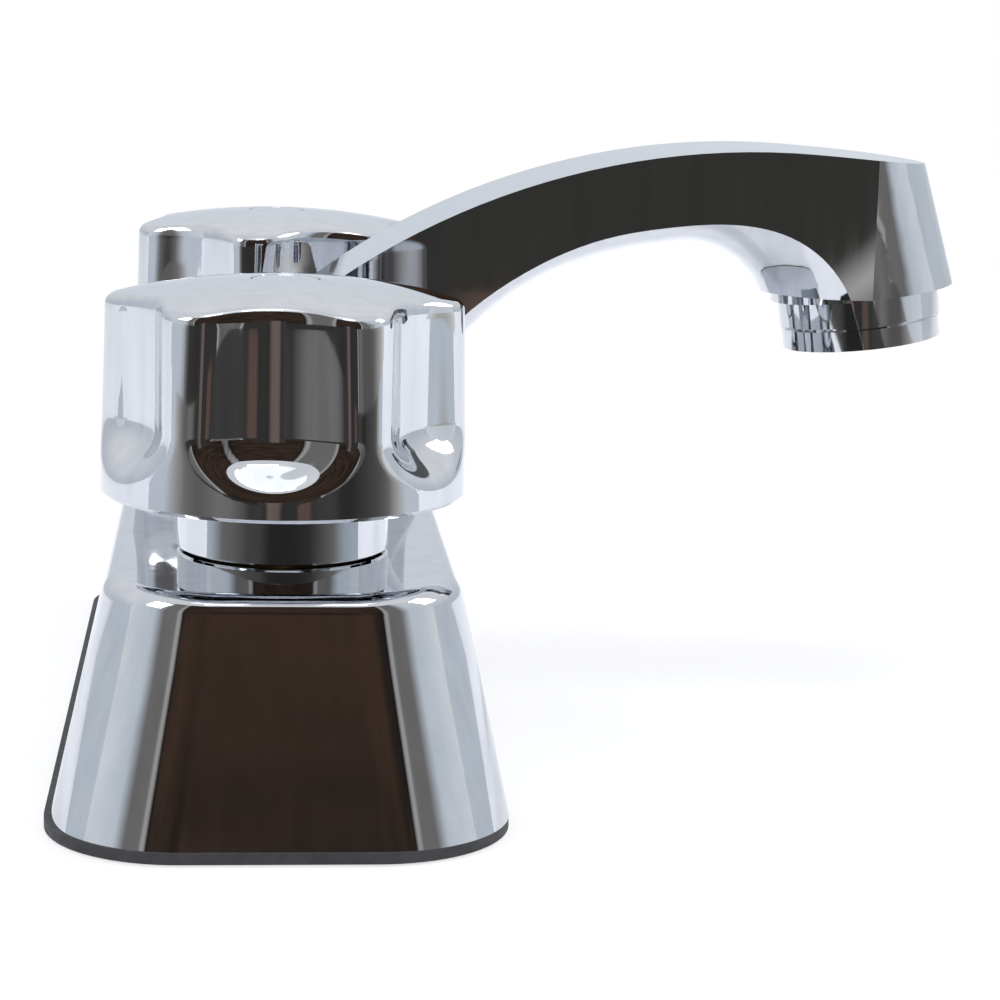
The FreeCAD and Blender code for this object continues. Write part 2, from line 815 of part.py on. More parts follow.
def make_deck_washer(name, side):
    inner = size("shank_radius") + size("thread_gap")
    top = -size("deck_room")
    turned(name + "_washer", [
        (inner, top - size("washer_height")),
        (size("washer_radius"), top - size("washer_height")),
        (size("washer_radius"), top),
        (inner, top),
    ], at=valve_spot(side))


def make_lock_nut(name, side):
    inner = size("shank_radius") + size("thread_gap")
    top = -size("deck_room") - size("washer_height")
    foot = top - size("nut_hub_height")
    body = turned(name + "_lock_nut", [
        (inner, foot),
        (size("nut_radius"), foot),
        (size("nut_radius"), top - size("nut_rim_height")),
        (size("nut_rim_radius"), top - size("nut_rim_height")),
        (size("nut_rim_radius"), top),
        (inner, top),
    ], at=valve_spot(side))
    root = size("nut_radius") - size("wing_grip")
    low = foot + size("wing_rise")
    wing = new_sketch(body, name + "_wing_outline", "XZ_Plane")
    add_outline(wing, [
        (root, low),
        (size("wing_reach") - size("wing_slope"), low),
        (size("wing_reach"), top - size("nut_rim_height")),
        (size("wing_reach"), top),
        (root, top),
    ])
    feature = pad(body, name + "_wing", wing, size("wing_thick"), both_ways=True)
    polar(body, name + "_wings", [feature], 4)


# Spout socket and what holds and seals the spout

def make_socket():
    radius = size("post_radius")
    outer = size("socket_radius")
    groove_foot = COVER_TOP + size("lock_groove_level") - size("lock_groove_width") / 2
    groove_top = COVER_TOP + size("lock_groove_level") + size("lock_groove_width") / 2
    points = [
        (0, size("socket_floor")),
        (outer, size("socket_floor")),
        (outer, COVER_ROOF),
        (radius, COVER_ROOF),
        (radius, groove_foot),
        (radius - size("lock_groove_depth"), groove_foot),
        (radius - size("lock_groove_depth"), groove_top),
        (radius, groove_top),
    ]
    for level in (size("post_ring_low"), size("post_ring_high")):
        low = COVER_TOP + level
        high = low + size("ring_groove_width")
        floor = radius - size("ring_groove_depth")
        points += [(radius, low), (floor, low), (floor, high), (radius, high)]
    points += [
        (radius, POST_TOP),
        (size("post_bore"), POST_TOP),
        (size("post_bore"), COVER_ROOF),
        (outer - size("socket_wall"), COVER_ROOF - size("socket_wall")),
        (outer - size("socket_wall"), size("socket_floor") + size("socket_wall")),
        (0, size("socket_floor") + size("socket_wall")),
    ]
    body = turned("spout_socket", points)
    sketch = new_sketch(body, "socket_port_circle", "XZ_Plane")
    add_circle(sketch, size("tube_radius") + size("seat_gap"), 0, size("port_level"))
    body.Tip = pocket(body, "socket_ports", sketch, (outer + OVERRUN) * 2, both_ways=True)


def make_spout_nut():
    body = new_body("spout_nut")
    sketch = new_sketch(body, "spout_nut_hexagon", "XY_Plane", COVER_TOP)
    add_polygon(sketch, 6, size("nut_flats"))
    add_circle(sketch, size("post_radius") + size("thread_gap"))
    pad(body, "spout_nut_plate", sketch, size("nut_height"))


def make_glide_ring():
    outer = size("hub_radius") - size("glide_inset")
    turned("spout_glide_ring", [
        (size("glide_inner"), COVER_TOP),
        (outer, COVER_TOP),
        (outer, GLIDE_TOP),
        (size("glide_inner"), GLIDE_TOP),
    ])


def make_post_rings():
    outer = size("post_radius") + size("post_slip") - size("ring_gap")
    inner = size("post_radius") - size("ring_groove_depth") + size("ring_gap")
    rings = []
    levels = (("post_ring_lower", size("post_ring_low")), ("post_ring_upper", size("post_ring_high")))
    for name, level in levels:
        ring = doc.addObject("Part::Torus", name)
        bind(ring, "Radius1", (outer + inner) / 2)
        bind(ring, "Radius2", (outer - inner) / 2)
        place(ring, 0, 0, COVER_TOP + level + size("ring_groove_width") / 2)
        rings.append(ring)
    group("spout_o_rings", rings)


def make_grub_screw():
    """The set screw in the back of the hub, modelled along Z and laid along -X."""
    tip = size("post_radius") - size("lock_groove_depth") + size("grub_tip_gap")
    head = size("hub_radius") - size("grub_sink")
    turned("spout_set_screw", [
        (0, tip),
        (size("grub_tip"), tip),
        (size("grub_tip"), tip + size("grub_tip_length")),
        (size("grub_radius"), tip + size("grub_tip_length")),
        (size("grub_radius"), head),
        (size("grub_socket"), head),
        (size("grub_socket"), head - size("grub_socket_depth")),
        (0, head - size("grub_socket_depth")),
    ], at=(0, 0, COVER_TOP + size("lock_groove_level")), turn=-90, axis=Vector(0, 1, 0))


# Spout: a cast arm with flat sides, an arched top, a rounded belly and a flared head

def on_arc(centre_x, centre_z, radius, angle, y=0.0):
    turn = math.radians(angle)
    return Vector(centre_x + radius * math.cos(turn), y, centre_z + radius * math.sin(turn))


def top_height(x):
    """Height of the spout's top: a long arc, then a flatter one over the nose, tangent to it."""
    middle = SIZES["top_centre_x"]
    base = SIZES["top_apex"] - SIZES["top_radius"]
    join = SIZES["nose_start"]
    if x <= join:
        return base + math.sqrt(SIZES["top_radius"] ** 2 - (x - middle) ** 2)
    join_height = top_height(join)
    share = SIZES["nose_radius"] / SIZES["top_radius"]
    nose_middle = join + (middle - join) * share
    nose_base = join_height + (base - join_height) * share
    return nose_base + math.sqrt(SIZES["nose_radius"] ** 2 - (x - nose_middle) ** 2)


def top_point(x):
    return Vector(x, 0, top_height(x))


def top_arc(start, end):
    return Part.Arc(top_point(start), top_point((start + end) / 2), top_point(end)).toShape()


def arc_edge(start, middle, end):
    return Part.Arc(start, middle, end).toShape()


def arch_centre():
    return SIZES["arch_centre_x"], SIZES["arch_apex"] - SIZES["arch_radius"]


def throat_centre():
    return SIZES["arch_centre_x"], SIZES["arch_apex"] - SIZES["throat_radius"]


def throat_side_centre():
    return SIZES["throat_side_x"], SIZES["throat_side_apex"] - SIZES["throat_side_radius"]


def stock_top():
    return SIZES["top_apex"] + SIZES["spare_stock"]


def arm_blank():
    """The arm as a flat-sided plate, with some spare stock over its top and under its belly."""
    arch_x, arch_z = arch_centre()
    throat_x, throat_z = throat_centre()
    inner = SIZES["arch_radius"] - SIZES["overrun"]
    throat = SIZES["throat_radius"] - SIZES["overrun"]
    head_x, head_z = SIZES["head_x"], SIZES["head_z"]
    arch_foot, arch_middle, crest, throat_middle, throat_foot = 158, 120, 90, 50, 12
    arch_start = on_arc(arch_x, arch_z, inner, arch_foot)
    turn_over = on_arc(throat_x, throat_z, throat, crest)
    throat_end = on_arc(throat_x, throat_z, throat, throat_foot)
    hub_foot = Vector(0, 0, arch_start.z - SIZES["head_overlap"])
    hub_top = Vector(0, 0, stock_top())
    head_top = Vector(head_x, 0, stock_top())
    head_foot = Vector(head_x, 0, head_z)
    lip = Vector(throat_end.x, 0, head_z)
    edges = [
        Part.makeLine(hub_top, head_top),
        Part.makeLine(head_top, head_foot),
        Part.makeLine(head_foot, lip),
        Part.makeLine(lip, throat_end),
        arc_edge(throat_end, on_arc(throat_x, throat_z, throat, throat_middle), turn_over),
        arc_edge(turn_over, on_arc(arch_x, arch_z, inner, arch_middle), arch_start),
        Part.makeLine(arch_start, hub_foot),
        Part.makeLine(hub_foot, hub_top),
    ]
    face = Part.Face(Part.Wire(edges))
    half = SIZES["arm_half_width"]
    face.translate(Vector(0, -half, 0))
    return face.extrude(Vector(0, 2 * half, 0))


def belly_section(belly, side):
    """One section of the hollow under the arm: an arc across the belly, closed below it."""
    half = SIZES["arm_half_width"]
    lift = side - belly
    depth = Vector(lift).normalize() * -SIZES["spare_stock"]
    out = half + SIZES["overrun"]
    low_left = belly + depth + Vector(0, -out, 0)
    low_right = belly + depth + Vector(0, out, 0)
    rim_left = side + Vector(0, -out, 0)
    rim_right = side + Vector(0, out, 0)
    edge_left = side + Vector(0, -half, 0)
    edge_right = side + Vector(0, half, 0)
    return Part.Wire([
        Part.makeLine(low_left, rim_left),
        Part.makeLine(rim_left, edge_left),
        arc_edge(edge_left, belly, edge_right),
        Part.makeLine(edge_right, rim_right),
        Part.makeLine(rim_right, low_right),
        Part.makeLine(low_right, low_left),
    ])


def belly_cutter():
    """The space under the arm, lofted from the foot of the arch to the back of the head."""
    inner = SIZES["arch_radius"]
    outer = inner + SIZES["belly"]
    sections = []
    for angle in (162, 145, 128, 110, 95):
        sections.append(belly_section(
            on_arc(*arch_centre(), inner, angle),
            on_arc(*arch_centre(), outer, angle)))
    for belly_angle, side_angle in ((70, 72), (47, 52), (26, 36), (8, 22)):
        sections.append(belly_section(
            on_arc(*throat_centre(), SIZES["throat_radius"], belly_angle),
            on_arc(*throat_side_centre(), SIZES["throat_side_radius"], side_angle)))
    return Part.makeLoft(sections, True, False)


def head_section(centre_x, level, back, front):
    """A closed plan outline: half an ellipse behind the centre and half an ellipse before it."""
    half = SIZES["arm_half_width"]
    edges = []
    for reach, start, end in ((front, -90, 90), (back, 90, 270)):
        centre = Vector(centre_x, 0, level)
        ellipse = Part.Ellipse(centre, max(reach, half), min(reach, half))
        if reach < half:
            ellipse.rotate(FreeCAD.Placement(centre, FreeCAD.Rotation(Vector(0, 0, 1), 90)))
            start, end = start - 90, end - 90
        edges.append(Part.ArcOfEllipse(ellipse, math.radians(start), math.radians(end)).toShape())
    return Part.Wire(edges)


def head_form():
    """The flared head, from below the aerator seat up past the top of the arm."""
    overlap = SIZES["head_overlap"]
    foot = SIZES["head_z"] - overlap
    crown = stock_top()
    lean = math.tan(math.radians(SIZES["head_tilt"]))
    low_x = SIZES["head_x"] + lean * overlap
    high_x = SIZES["head_x"] - lean * (crown - SIZES["head_z"])
    flare = SIZES["head_front"] - SIZES["head_front_top"]
    grow = flare / (top_height(SIZES["head_x"]) - SIZES["head_z"])
    low_front = SIZES["head_front"] + grow * overlap
    high_front = low_front - grow * (crown - foot)
    return Part.makeLoft([
        head_section(low_x, foot, SIZES["head_back"], low_front),
        head_section(high_x, crown, SIZES["head_back"], high_front),
    ], True, True)


def head_trim():
    """A thick slab below the head's tilted bottom face."""
    half = SIZES["head_front"] * 2
    thick = SIZES["head_overlap"] * 3
    slab = Part.makeBox(half * 2, half * 2, thick, Vector(-half, -half, -thick))
    slab.rotate(Vector(0, 0, 0), Vector(0, 1, 0), -SIZES["head_tilt"])
    slab.translate(Vector(SIZES["head_x"], 0, SIZES["head_z"]))
    return slab


def sky_cutter():
    """Everything above the arched top."""
    margin = SIZES["spare_stock"]
    left = -SIZES["hub_radius"] - margin
    right = SIZES["head_x"] + SIZES["head_front"] + margin
    join = SIZES["nose_start"]
    ceiling = stock_top() + margin
    high_left = Vector(left, 0, ceiling)
    high_right = Vector(right, 0, ceiling)
    edges = [
        top_arc(left, join),
        top_arc(join, right),
        Part.makeLine(top_point(right), high_right),
        Part.makeLine(high_right, high_left),
        Part.makeLine(high_left, top_point(left)),
    ]
    face = Part.Face(Part.Wire(edges))
    reach = SIZES["hub_radius"] + margin
    face.translate(Vector(0, -reach, 0))
    return face.extrude(Vector(0, 2 * reach, 0))


def waterway():
    """The passage from the hub's bore to the aerator, half way between belly and top."""
    start = Vector(0, 0, POST_TOP.number - SIZES["overrun"])
    end = Vector(SIZES["head_x"] - SIZES["waterway_inset"], 0, SIZES["head_z"] + SIZES["waterway_rise"])
    arch_x, arch_z = arch_centre()
    middle_x = SIZES["waterway_middle"]
    underside = arch_z + math.sqrt(SIZES["arch_radius"] ** 2 - (middle_x - arch_x) ** 2)
    middle = Vector(middle_x, 0, (underside + top_height(middle_x)) / 2)
    path = Part.Wire([arc_edge(start, middle, end)])
    tangent = path.Edges[0].tangentAt(path.Edges[0].FirstParameter)
    ring = Part.Wire([Part.makeCircle(SIZES["waterway_radius"], start, tangent)])
    return path.makePipeShell([ring], True, False)


def make_spout():
    hub_foot = HUB_FOOT.number
    hub = Part.makeCylinder(SIZES["hub_radius"], stock_top() - hub_foot, Vector(0, 0, hub_foot))
    arm = arm_blank().cut(belly_cutter())
    head = head_form().cut(head_trim())
    solid = arm.fuse([hub, head]).cut(sky_cutter()).removeSplitter()
    form = doc.addObject("Part::Feature", "spout_form")
    form.Shape = solid
    passage = doc.addObject("Part::Feature", "spout_passage")
    passage.Shape = waterway()
    bore = doc.addObject("Part::Cylinder", "hub_bore")
    bind(bore, "Radius", size("post_radius") + size("post_slip"))
    bind(bore, "Height", size("post_height"))
    place(bore, 0, 0, COVER_TOP)
    nut_corner = size("nut_flats") / (2 * math.cos(math.radians(30)))
    room = doc.addObject("Part::Cylinder", "hub_nut_room")
    bind(room, "Radius", nut_corner + size("nut_room"))
    bind(room, "Height", size("nut_height") + size("nut_room"))
    place(room, 0, 0, COVER_TOP)
    tapped = doc.addObject("Part::Cylinder", "hub_tapped_hole")
    bind(tapped, "Radius", size("grub_radius") + size("seat_gap"))
    bind(tapped, "Height", size("hub_radius") + OVERRUN)
    place(tapped, 0, 0, COVER_TOP + size("lock_groove_level"), turn=-90, axis=Vector(0, 1, 0))
    mouth = doc.addObject("Part::Cylinder", "head_mouth")
    bind(mouth, "Radius", size("aerator_thread") + size("seat_gap"))
    bind(mouth, "Height", size("aerator_thread_height") + size("washer_thick") + OVERRUN)
    lean = OVERRUN * math.sin(math.radians(SIZES["head_tilt"]))
    drop = OVERRUN * math.cos(math.radians(SIZES["head_tilt"]))
    place(mouth, aerator_x() + lean, 0, aerator_z() - drop, turn=-size("head_tilt"), axis=Vector(0, 1, 0))
    tools = doc.addObject("Part::MultiFuse", "spout_hollows")
    tools.Shapes = [passage, bore, room, tapped, mouth]
    spout = doc.addObject("Part::Cut", "spout")
    spout.Base = form
    spout.Tool = tools
    spout.Label = "spout"


# Aerator, on the head's tilted axis with its own zero level at the head's bottom face

def aerator_x():
    return size("head_x") + size("aerator_shift")


def aerator_z():
    return size("head_z") + size("aerator_shift") * math.tan(math.radians(SIZES["head_tilt"]))


def aerator_piece(name, points):
    spot = (aerator_x(), 0, aerator_z())
    return turned(name, points, at=spot, turn=-size("head_tilt"), axis=Vector(0, 1, 0))


def make_aerator():
    radius = size("aerator_radius")
    foot = -size("aerator_height")
    lip = foot + size("aerator_lip")
    lip_radius = radius - size("aerator_lip_step")
    bore = size("aerator_bore")
    ledge = foot + size("aerator_ledge_thick")
    gap = size("aerator_gap")
    aerator_piece("aerator_housing", [
        (size("aerator_ledge"), foot),
        (lip_radius, foot),
        (lip_radius, lip),
        (radius - size("aerator_groove") * 2, lip),
        (radius - size("aerator_groove") * 2, lip + size("aerator_groove")),
        (radius, lip + size("aerator_groove")),
        (radius, -gap),
        (size("aerator_thread"), -gap),
        (size("aerator_thread"), size("aerator_thread_height")),
        (bore, size("aerator_thread_height")),
        (bore, ledge),
        (size("aerator_ledge"), ledge),
    ])
    body = new_body("aerator_insert")
    sketch = new_sketch(body, "insert_outline", "XY_Plane", ledge)
    add_circle(sketch, bore - size("insert_gap"))
    pad(body, "insert_plate", sketch, size("insert_height"))
    holes = new_sketch(body, "insert_holes", "XY_Plane", ledge + size("insert_height"))
    add_circle(holes, size("insert_hole"))
    for count, ring in ((6, 1), (12, 2)):
        for number in range(count):
            angle = 2 * math.pi * number / count
            reach = size("insert_pitch") * ring
            add_circle(holes, size("insert_hole"), reach * math.cos(angle), reach * math.sin(angle))
    body.Tip = pocket(body, "insert_jets", holes, size("insert_height") + OVERRUN)
    place(body, aerator_x(), 0, aerator_z(), turn=-size("head_tilt"), axis=Vector(0, 1, 0))
    screen_foot = ledge + size("insert_height")
    aerator_piece("aerator_screen", [
        (0, screen_foot),
        (bore - size("insert_gap"), screen_foot),
        (bore - size("insert_gap"), screen_foot + size("screen_thick")),
        (0, screen_foot + size("screen_thick")),
    ])
    seat = size("aerator_thread_height")
    aerator_piece("aerator_washer", [
        (size("washer_inner"), seat),
        (size("aerator_thread") - gap, seat),
        (size("aerator_thread") - gap, seat + size("washer_thick")),
        (size("washer_inner"), seat + size("washer_thick")),
    ])


def build():
    make_gasket()
    make_cover()
    for name, side in VALVES:
        angle = size(name + "_knob_angle")
        make_valve_body(name, side)
        make_cross_tube(name, side)
        make_collar(name, side)
        make_cartridge(name, side)
        make_cartridge_ring(name, side)
        make_seat_seal(name, side)
        make_disc(name + "_fixed_disc", side, SEAL_TOP, True)
        make_disc(name + "_moving_disc", side, MOVING_DISC_FOOT, False)
        make_spindle(name, side, angle)
        make_clip(name, side)
        make_knob_screw(name, side)
        make_knob(name, side, angle)
        make_index(name, side)
        make_deck_washer(name, side)
        make_lock_nut(name, side)
    make_socket()
    make_spout_nut()
    make_glide_ring()
    make_post_rings()
    make_grub_screw()
    make_spout()
    make_aerator()
    doc.recompute()


def nodes():
    """The objects that are written out: every body and the groups and cuts with a node's name."""
    inner = set()
    for item in doc.Objects:
        if item.TypeId in ("Part::Compound", "Part::Cut", "Part::MultiFuse"):
            inner.update(part.Name for part in item.OutList)
    kinds = ("PartDesign::Body", "Part::Compound", "Part::Cut", "Part::Torus")
    return [item for item in doc.Objects if item.TypeId in kinds and item.Name not in inner]


def check_objects():
    for item in doc.Objects:
        bad = [state for state in item.State if state in ("Invalid", "Error")]
        if bad:
            raise RuntimeError("%s is %s" % (item.Name, ", ".join(bad)))
    for item in nodes():
        if item.Shape.isNull() or not item.Shape.isValid() or not item.Shape.Solids:
            raise RuntimeError("%s has no sound solid" % item.Label)


def write_files():
    os.makedirs("parts", exist_ok=True)
    for item in nodes():
        item.Shape.exportStep(os.path.join("parts", item.Label + ".step"))
        print("%-22s %d solid %10.1f mm3" % (item.Label, len(item.Shape.Solids), item.Shape.Volume))


build()
check_objects()
write_files()
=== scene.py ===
import json
import math

import bmesh
import bpy
import numpy as np
from mathutils import Matrix, Vector


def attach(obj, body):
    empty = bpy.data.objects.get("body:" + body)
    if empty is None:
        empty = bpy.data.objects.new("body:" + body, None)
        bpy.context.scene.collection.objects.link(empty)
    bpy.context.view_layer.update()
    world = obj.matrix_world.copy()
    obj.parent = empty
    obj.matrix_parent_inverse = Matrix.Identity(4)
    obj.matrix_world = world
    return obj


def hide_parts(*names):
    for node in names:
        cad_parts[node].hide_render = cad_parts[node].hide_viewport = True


# Looks of the two-handle sink mixer, in metres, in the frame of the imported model: Z is up,
# X points to the outlet and Y runs along the valves.

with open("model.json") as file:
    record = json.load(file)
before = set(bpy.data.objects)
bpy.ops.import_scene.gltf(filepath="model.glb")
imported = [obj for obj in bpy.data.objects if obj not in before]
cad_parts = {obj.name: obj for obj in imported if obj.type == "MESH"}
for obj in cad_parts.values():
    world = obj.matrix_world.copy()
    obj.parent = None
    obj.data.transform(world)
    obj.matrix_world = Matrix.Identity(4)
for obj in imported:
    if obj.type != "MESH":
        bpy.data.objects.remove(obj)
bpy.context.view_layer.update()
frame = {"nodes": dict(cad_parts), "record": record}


# Node helpers

def new_material(name):
    material = bpy.data.materials.new(name)
    material.use_nodes = True
    tree = material.node_tree
    shader = tree.nodes["Principled BSDF"]
    return material, tree, shader


def add_node(tree, kind, **settings):
    node = tree.nodes.new(kind)
    for key, value in settings.items():
        setattr(node, key, value)
    return node


def noise(tree, scale, detail, stretch=(1, 1, 1)):
    """Noise in object coordinates, which are the frame's own metres."""
    coordinates = add_node(tree, "ShaderNodeTexCoord")
    mapping = add_node(tree, "ShaderNodeMapping")
    mapping.inputs["Scale"].default_value = stretch
    texture = add_node(tree, "ShaderNodeTexNoise")
    texture.inputs["Scale"].default_value = scale
    texture.inputs["Detail"].default_value = detail
    tree.links.new(coordinates.outputs["Object"], mapping.inputs["Vector"])
    tree.links.new(mapping.outputs["Vector"], texture.inputs["Vector"])
    return texture.outputs["Fac"]


def remap(tree, value, low, high, from_low=0.3, from_high=0.7):
    node = add_node(tree, "ShaderNodeMapRange")
    node.inputs["From Min"].default_value = from_low
    node.inputs["From Max"].default_value = from_high
    node.inputs["To Min"].default_value = low
    node.inputs["To Max"].default_value = high
    tree.links.new(value, node.inputs["Value"])
    return node.outputs["Result"]


def two_tone(tree, value, dark, light, low=0.35, high=0.65):
    ramp = add_node(tree, "ShaderNodeValToRGB")
    ramp.color_ramp.elements[0].position = low
    ramp.color_ramp.elements[0].color = (*dark, 1)
    ramp.color_ramp.elements[1].position = high
    ramp.color_ramp.elements[1].color = (*light, 1)
    tree.links.new(value, ramp.inputs["Fac"])
    return ramp.outputs["Color"]


def bump(tree, shader, height, strength, distance):
    """Surface relief from a height value, with the distance in metres."""
    node = add_node(tree, "ShaderNodeBump")
    node.inputs["Strength"].default_value = strength
    node.inputs["Distance"].default_value = distance
    tree.links.new(height, node.inputs["Height"])
    tree.links.new(node.outputs["Normal"], shader.inputs["Normal"])


def blend_shaders(tree, share, first, second):
    """The first shader where the share is 0 and the second where it is 1."""
    mix = add_node(tree, "ShaderNodeMixShader")
    tree.links.new(share, mix.inputs["Fac"])
    tree.links.new(first.outputs[0], mix.inputs[1])
    tree.links.new(second.outputs[0], mix.inputs[2])
    return mix


# Materials

def chrome_material(name):
    """Bright plated chrome: nearly a mirror, with faint polishing waves and a little haze."""
    material, tree, shader = new_material(name)
    shader.inputs["Metallic"].default_value = 1.0
    wave = noise(tree, 38, 1)
    streaks = noise(tree, 420, 4, (1, 1, 0.12))
    colour = two_tone(tree, streaks, (0.545, 0.565, 0.600), (0.600, 0.617, 0.650))
    tree.links.new(colour, shader.inputs["Base Color"])
    tree.links.new(remap(tree, streaks, 0.018, 0.055), shader.inputs["Roughness"])
    bump(tree, shader, wave, 0.02, 0.0002)
    return material


def metal_material(name, dark, light, rough_low, rough_high, grain=(1, 1, 1)):
    """Unplated metal, mottled, with a fine grain."""
    material, tree, shader = new_material(name)
    shader.inputs["Metallic"].default_value = 1.0
    grains = noise(tree, 260, 4, grain)
    tree.links.new(two_tone(tree, noise(tree, 45, 3), dark, light), shader.inputs["Base Color"])
    tree.links.new(remap(tree, grains, rough_low, rough_high), shader.inputs["Roughness"])
    bump(tree, shader, grains, 0.25, 0.00008)
    return material


def soft_material(name, dark, light, rough_low, rough_high, scale=700, relief=0.3):
    """Rubber, moulded plastic or ceramic: not metal, with a fine moulded skin."""
    material, tree, shader = new_material(name)
    grains = noise(tree, scale, 4)
    tree.links.new(two_tone(tree, noise(tree, 60, 3), dark, light), shader.inputs["Base Color"])
    tree.links.new(remap(tree, grains, rough_low, rough_high), shader.inputs["Roughness"])
    bump(tree, shader, grains, relief, 0.00006)
    return material


CHROME = chrome_material("plated_chrome")
MATERIAL_OF = {
    "chrome": CHROME,
    "brass": metal_material("cast_brass", (0.52, 0.36, 0.13), (0.66, 0.48, 0.20), 0.28, 0.46),
    "steel": metal_material("stainless_steel", (0.46, 0.45, 0.43), (0.58, 0.57, 0.55), 0.22, 0.38,
                            grain=(1, 1, 9)),
    "rubber": soft_material("dark_rubber", (0.018, 0.018, 0.020), (0.034, 0.034, 0.037), 0.55, 0.75),
    "plastic": soft_material("moulded_plastic", (0.62, 0.62, 0.60), (0.70, 0.70, 0.68), 0.34, 0.46),
    "ceramic": soft_material("fired_ceramic", (0.74, 0.72, 0.67), (0.82, 0.80, 0.76), 0.16, 0.26,
                             scale=1400, relief=0.12),
}


def dress_nodes():
    """Every node of the frame takes the material of its slot in the record."""
    slots = {}
    for part in frame["record"].get("subparts", []):
        slots[part.get("node") or part.get("name")] = part.get("material_slot")
    for name, thing in frame["nodes"].items():
        thing.data.materials.clear()
        thing.data.materials.append(MATERIAL_OF.get(slots.get(name), CHROME))


dress_nodes()


# Mesh helpers

def add_object(name, data):
    thing = bpy.data.objects.new(name, data)
    bpy.context.scene.collection.objects.link(thing)
    return thing


def finish_chrome(mesh, sharp):
    """Merge doubled points, turn the faces outward and shade smooth below the sharp angle."""
    work = bmesh.new()
    work.from_mesh(mesh)
    bmesh.ops.remove_doubles(work, verts=work.verts, dist=1e-7)
    bmesh.ops.recalc_face_normals(work, faces=work.faces)
    work.to_mesh(mesh)
    work.free()
    mesh.polygons.foreach_set("use_smooth", [True] * len(mesh.polygons))
    mesh.set_sharp_from_angle(angle=math.radians(sharp))
    mesh.materials.append(CHROME)


def round_piece(name, rows, centre_y, turn, closed, sharp):
    """A piece round a vertical axis, from rows of radii and heights. Each row holds one value
    for every angle. A closed piece joins its last row to its first."""
    around = len(rows[0][0])
    angles = np.arange(around) * 2 * math.pi / around + turn
    points, faces = [], []
    for radius, height in rows:
        points += zip(radius * np.cos(angles), centre_y + radius * np.sin(angles), height)
    for row in range(len(rows) if closed else len(rows) - 1):
        here, above = row * around, (row + 1) % len(rows) * around
        for column in range(around):
            beside = (column + 1) % around
            faces.append((here + column, here + beside, above + beside, above + column))
    mesh = bpy.data.meshes.new(name)
    mesh.from_pydata([tuple(map(float, point)) for point in points], [], faces)
    finish_chrome(mesh, sharp)
    return add_object(name, mesh)


def level_rows(outline, around):
    """Rows that are round and level, from pairs of radius and height."""
    return [(np.full(around, radius), np.full(around, height)) for radius, height in outline]


def place(piece, body, replaced):
    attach(piece, body)
    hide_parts(replaced)


# Knobs: fine meshes with soft flutes, in the place of the two CAD knobs

VALVE_PLACE = 0.0508
KNOB_AROUND = 288
KNOB = {
    "foot": 0.0420, "chamfer": 0.0005, "low_radius": 0.0237, "high_radius": 0.0230,
    "rim": 0.0670, "dome": 0.0026, "edge": 0.0010, "scoop_foot": 0.0455, "scoop_top": 0.0530,
    "flute_radius": 0.0160, "flute_place": 0.0350, "flute_turn": 0.0520, "flute_squeeze": 1.9,
    "flutes": 6, "blend": 0.0024,
}
# From the top of the bore out to the skirt's foot, round the hanging sleeve
SLEEVE_OUTLINE = (
    (0.0119, 0.0471), (0.0119, 0.0346), (0.0134, 0.0346), (0.0137, 0.0349), (0.0137, 0.0450),
    (0.0213, 0.0450), (0.0213, 0.0420), (0.0232, 0.0420),
)
# From the crown down through the button's seat and the screw's hole
BUTTON_HOLE = 0.00458
SEAT_OUTLINE = (
    (0.00448, 0.06938), (0.00445, 0.0669), (0.0039, 0.0669), (0.0039, 0.0637),
    (0.0043, 0.0637), (0.0043, 0.0471),
)
BUTTON_AROUND = 96
BUTTON_OUTLINE = ((0.0, 0.0669), (0.00438, 0.0669), (0.00438, 0.0692), (0.00433, 0.06933), (0.00422, 0.06941))
BUTTON_DOME = 0.00026


def smooth_max(a, b, blend):
    near = np.maximum(blend - np.abs(a - b), 0) / blend
    return np.maximum(a, b) + near * near * blend / 4


def flute_radii(angles, heights):
    """Radius of the fluted side for every height (rows) and angle (columns), found by halving.
    A flute is an upright cylinder that ends in a flattened ball below flute_turn."""
    cone = np.interp(heights, [KNOB["foot"], KNOB["rim"]], [KNOB["low_radius"], KNOB["high_radius"]])[:, None]
    pitch = 2 * math.pi / KNOB["flutes"]
    off = (angles + pitch / 2) % pitch - pitch / 2
    drop = np.maximum(KNOB["flute_turn"] - heights, 0)[:, None] * KNOB["flute_squeeze"]
    low = np.full((len(heights), len(angles)), 0.012)
    high = np.full_like(low, 0.025)
    for halving in range(34):
        middle = (low + high) / 2
        along = KNOB["flute_place"] - middle * np.cos(off)
        across = middle * np.sin(off)
        inside_flute = KNOB["flute_radius"] - np.sqrt(along ** 2 + across ** 2 + drop ** 2)
        outside = smooth_max(middle - cone, inside_flute, KNOB["blend"]) > 0
        high = np.where(outside, middle, high)
        low = np.where(outside, low, middle)
    return (low + high) / 2


def crown_height(radius):
    return KNOB["rim"] + KNOB["dome"] * (1 - (radius / KNOB["high_radius"]) ** 2)


